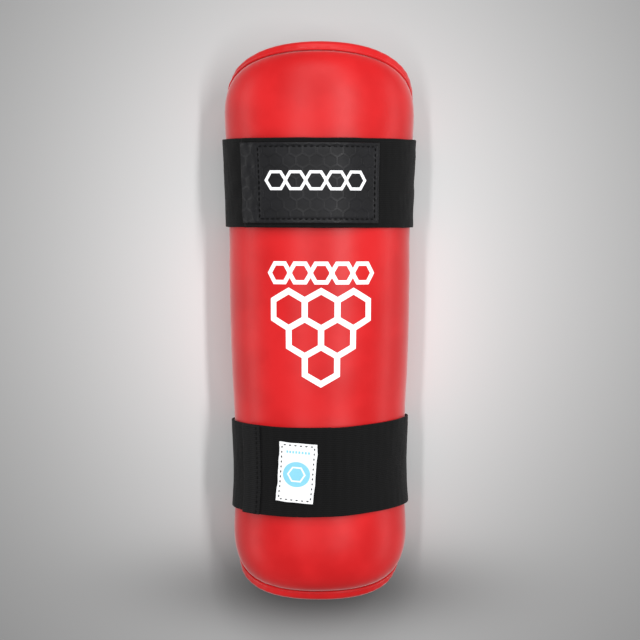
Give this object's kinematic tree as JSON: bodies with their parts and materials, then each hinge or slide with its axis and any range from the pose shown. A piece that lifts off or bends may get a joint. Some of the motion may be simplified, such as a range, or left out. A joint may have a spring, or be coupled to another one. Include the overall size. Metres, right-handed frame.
{
  "type": "shin guard",
  "caption": "Padded wrap-round shin guard: a C-shaped foam pad with a bound back panel, closed by two wide elastic straps with hook fastenings.",
  "frame": {"origin": "middle of the surface that the guard's straps rest on, under the middle of its length", "axes": "+Y along the guard towards its knee end, +Z out of its padded front, +X to the right as its front is seen with the knee end up"},
  "size_m": [0.1112, 0.3164, 0.074],
  "materials": {
    "pad_leather": "smooth semi-matte red synthetic leather over foam",
    "lining_leather": "smooth red synthetic leather, more matte",
    "binding_leather": "smooth semi-matte red strip, stitched",
    "upper_elastic": "black ribbed woven elastic",
    "lower_elastic": "black ribbed woven elastic",
    "binding_tape": "black woven tape, stitched",
    "hook_tape": "black hook tape",
    "patch_leather": "charcoal synthetic leather, stitched all round",
    "label_weave": "white woven label, stitched all round"
  },
  "bodies": {
    "root": {"front_pad": "pad_leather", "back_panel": "lining_leather", "edge_binding": "binding_leather", "upper_strap": "upper_elastic", "upper_strap_hook": "hook_tape", "strap_patch": "patch_leather", "lower_strap": "lower_elastic", "lower_strap_hook": "hook_tape", "strap_end_binding": "binding_tape", "woven_label": "label_weave"}
  },
  "joints": []
}
